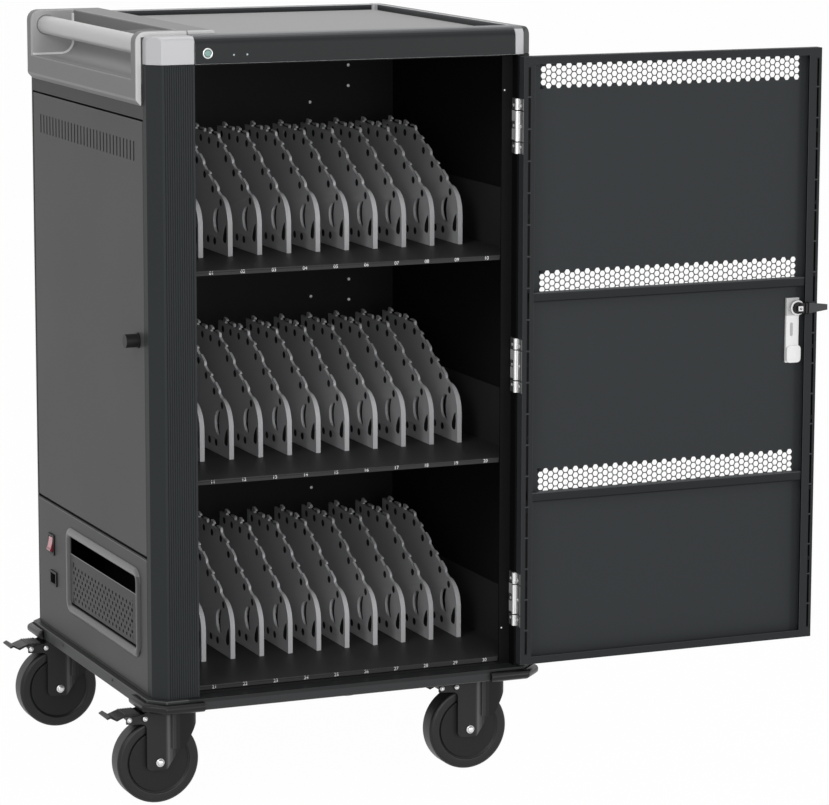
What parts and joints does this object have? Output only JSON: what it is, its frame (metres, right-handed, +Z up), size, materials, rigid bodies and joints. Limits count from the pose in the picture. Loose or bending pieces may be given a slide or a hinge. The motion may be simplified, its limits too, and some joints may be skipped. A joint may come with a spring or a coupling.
{
  "type": "laptop charging cart",
  "caption": "Wheeled cabinet with an open hinged door, shelves of upright device bays, a side handle, a vented side door, a cable pocket and braked swivel casters.",
  "frame": {"origin": "on the floor, under the middle of the box around the whole part with its front door swung open", "axes": "+Z up, the cabinet's front faces -Y, +X to the right along the front, where the open door lies"},
  "size_m": [1.2186, 0.659, 1.196],
  "materials": {
    "dark_paint": "fine satin powder coat",
    "shelf_paint": "satin powder coat",
    "side_paint": "fine satin powder coat",
    "dark_plastic": "satin moulded plastic",
    "tray_plastic": "fine textured plastic",
    "handle_plastic": "fine textured plastic",
    "silver_trim": "satin silver paint",
    "bumper_rubber": "moulded rubber",
    "bright_steel": "bright zinc",
    "black_steel": "black coat",
    "tyre_rubber": "solid rubber",
    "black_plastic": "moulded plastic",
    "switch_red": "translucent moulding",
    "button_green": "lit moulding"
  },
  "bodies": {
    "cabinet": {"base_frame": "dark_paint", "cabinet_shell": "dark_paint", "front_left_post": "dark_paint", "shelf_lower": "shelf_paint", "shelf_middle": "shelf_paint", "shelf_upper": "shelf_paint", "lower_side_panel": "side_paint", "pocket_panel": "side_paint", "control_bar": "dark_plastic", "rail_right": "dark_plastic", "rail_rear": "dark_plastic", "pocket_bezel": "dark_plastic", "top_tray": "tray_plastic", "handle_housing": "handle_plastic", "handle_grip": "handle_plastic", "corner_cap_front_left": "silver_trim", "corner_cap_front_right": "silver_trim", "corner_cap_rear_right": "silver_trim", "bumper_front_left": "bumper_rubber", "bumper_front_right": "bumper_rubber", "bumper_rear_left": "bumper_rubber", "bumper_rear_right": "bumper_rubber", "hinge_frame_lower": "bright_steel", "hinge_frame_middle": "bright_steel", "hinge_frame_upper": "bright_steel", "caster_mount_front_left": "black_steel", "caster_mount_front_right": "black_steel", "caster_mount_rear_left": "black_steel", "caster_mount_rear_right": "black_steel", "switch_frame": "black_plastic", "power_inlet": "black_plastic", "power_strip_lower": "black_plastic", "power_strip_middle": "black_plastic", "power_strip_upper": "black_plastic"},
    "door": {"front_door": "dark_paint", "door_rib_lower": "dark_paint", "door_rib_upper": "dark_paint", "lock_plate": "bright_steel", "hinge_door_lower": "bright_steel", "hinge_door_middle": "bright_steel", "hinge_door_upper": "bright_steel"},
    "latch": {"latch_cam": "black_steel", "door_lever": "dark_plastic"},
    "side_door": {"side_access_door": "side_paint"},
    "side_lock": {"side_lock_knob": "bright_steel", "side_lock_cam": "bright_steel"},
    "button": {"power_button": "button_green"},
    "rocker": {"rocker_switch": "switch_red"},
    "fork_front_left": {"caster_fork_front_left": "black_steel"},
    "wheel_front_left": {"caster_wheel_front_left": "tyre_rubber"},
    "pedal_front_left": {"caster_pedal_front_left": "dark_plastic"},
    "fork_front_right": {"caster_fork_front_right": "black_steel"},
    "wheel_front_right": {"caster_wheel_front_right": "tyre_rubber"},
    "pedal_front_right": {"caster_pedal_front_right": "dark_plastic"},
    "fork_rear_left": {"caster_fork_rear_left": "black_steel"},
    "wheel_rear_left": {"caster_wheel_rear_left": "tyre_rubber"},
    "pedal_rear_left": {"caster_pedal_rear_left": "dark_plastic"},
    "fork_rear_right": {"caster_fork_rear_right": "black_steel"},
    "wheel_rear_right": {"caster_wheel_rear_right": "tyre_rubber"},
    "pedal_rear_right": {"caster_pedal_rear_right": "dark_plastic"}
  },
  "joints": [
    {"name": "door_swing", "type": "hinge", "parent": "cabinet", "child": "door", "pos_m": [0.06325, -0.304, 0.658], "axis": [0, 0, -1], "range_deg": [0, 176.5]},
    {"name": "latch_turn", "type": "hinge", "parent": "door", "child": "latch", "pos_m": [0.55925, -0.3135, 0.724], "axis": [0, 1, 0], "range_deg": [0, 90]},
    {"name": "side_door_swing", "type": "hinge", "parent": "cabinet", "child": "side_door", "pos_m": [-0.53175, 0.2685, 0.72], "axis": [0, 0, -1], "range_deg": [0, 100]},
    {"name": "side_lock_turn", "type": "hinge", "parent": "side_door", "child": "side_lock", "pos_m": [-0.53975, -0.2375, 0.724], "axis": [1, 0, 0], "range_deg": [0, 90]},
    {"name": "button_press", "type": "slide", "parent": "cabinet", "child": "button", "axis": [0, 1, 0], "range_m": [0, 0.002], "stiffness_N_per_m": 400},
    {"name": "rocker_tilt", "type": "hinge", "parent": "cabinet", "child": "rocker", "pos_m": [-0.53775, 0.216, 0.318], "axis": [0, -1, 0], "range_deg": [0, 14]},
    {"name": "swivel_front_left", "type": "hinge", "parent": "cabinet", "child": "fork_front_left", "pos_m": [-0.48625, -0.2505, 0.15], "axis": [0, 0, 1], "continuous": true},
    {"name": "roll_front_left", "type": "hinge", "parent": "fork_front_left", "child": "wheel_front_left", "pos_m": [-0.52425, -0.2505, 0.0665], "axis": [0, 1, 0], "continuous": true},
    {"name": "brake_front_left", "type": "hinge", "parent": "fork_front_left", "child": "pedal_front_left", "pos_m": [-0.56125, -0.2505, 0.134], "axis": [0, -1, 0], "range_deg": [0, 12]},
    {"name": "swivel_front_right", "type": "hinge", "parent": "cabinet", "child": "fork_front_right", "pos_m": [0.03875, -0.2505, 0.15], "axis": [0, 0, 1], "continuous": true},
    {"name": "roll_front_right", "type": "hinge", "parent": "fork_front_right", "child": "wheel_front_right", "pos_m": [0.00075, -0.2505, 0.0665], "axis": [0, 1, 0], "continuous": true},
    {"name": "brake_front_right", "type": "hinge", "parent": "fork_front_right", "child": "pedal_front_right", "pos_m": [-0.03625, -0.2505, 0.134], "axis": [0, -1, 0], "range_deg": [0, 12]},
    {"name": "swivel_rear_left", "type": "hinge", "parent": "cabinet", "child": "fork_rear_left", "pos_m": [-0.48625, 0.2565, 0.15], "axis": [0, 0, 1], "continuous": true},
    {"name": "roll_rear_left", "type": "hinge", "parent": "fork_rear_left", "child": "wheel_rear_left", "pos_m": [-0.52425, 0.2565, 0.0665], "axis": [0, 1, 0], "continuous": true},
    {"name": "brake_rear_left", "type": "hinge", "parent": "fork_rear_left", "child": "pedal_rear_left", "pos_m": [-0.56125, 0.2565, 0.134], "axis": [0, -1, 0], "range_deg": [0, 12]},
    {"name": "swivel_rear_right", "type": "hinge", "parent": "cabinet", "child": "fork_rear_right", "pos_m": [0.03875, 0.2565, 0.15], "axis": [0, 0, 1], "continuous": true},
    {"name": "roll_rear_right", "type": "hinge", "parent": "fork_rear_right", "child": "wheel_rear_right", "pos_m": [0.00075, 0.2565, 0.0665], "axis": [0, 1, 0], "continuous": true},
    {"name": "brake_rear_right", "type": "hinge", "parent": "fork_rear_right", "child": "pedal_rear_right", "pos_m": [-0.03625, 0.2565, 0.134], "axis": [0, -1, 0], "range_deg": [0, 12]}
  ]
}
